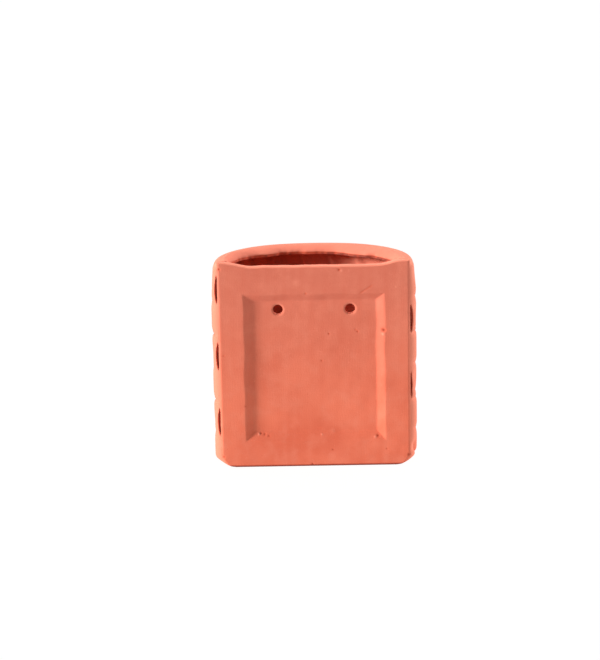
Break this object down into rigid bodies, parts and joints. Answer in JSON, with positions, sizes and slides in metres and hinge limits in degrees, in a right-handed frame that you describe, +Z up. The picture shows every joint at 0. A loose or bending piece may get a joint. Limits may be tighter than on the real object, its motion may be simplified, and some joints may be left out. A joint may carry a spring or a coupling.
{
  "type": "wall planter",
  "caption": "Half-round terracotta wall planter with plaited bands, an inward rim and a sunken hanging panel with holes in its flat back.",
  "frame": {"origin": "under the middle of the body, on the surface that it stands on", "axes": "+Z up; the flat back faces +Y and the bowed front faces -Y; +X is to the left of someone who looks at the back"},
  "size_m": [0.1524, 0.086, 0.156],
  "materials": {
    "terracotta": "matt unglazed"
  },
  "bodies": {
    "root": {"back_slab": "terracotta", "front_wall": "terracotta", "rim_flange": "terracotta", "base_slab": "terracotta"}
  },
  "joints": []
}
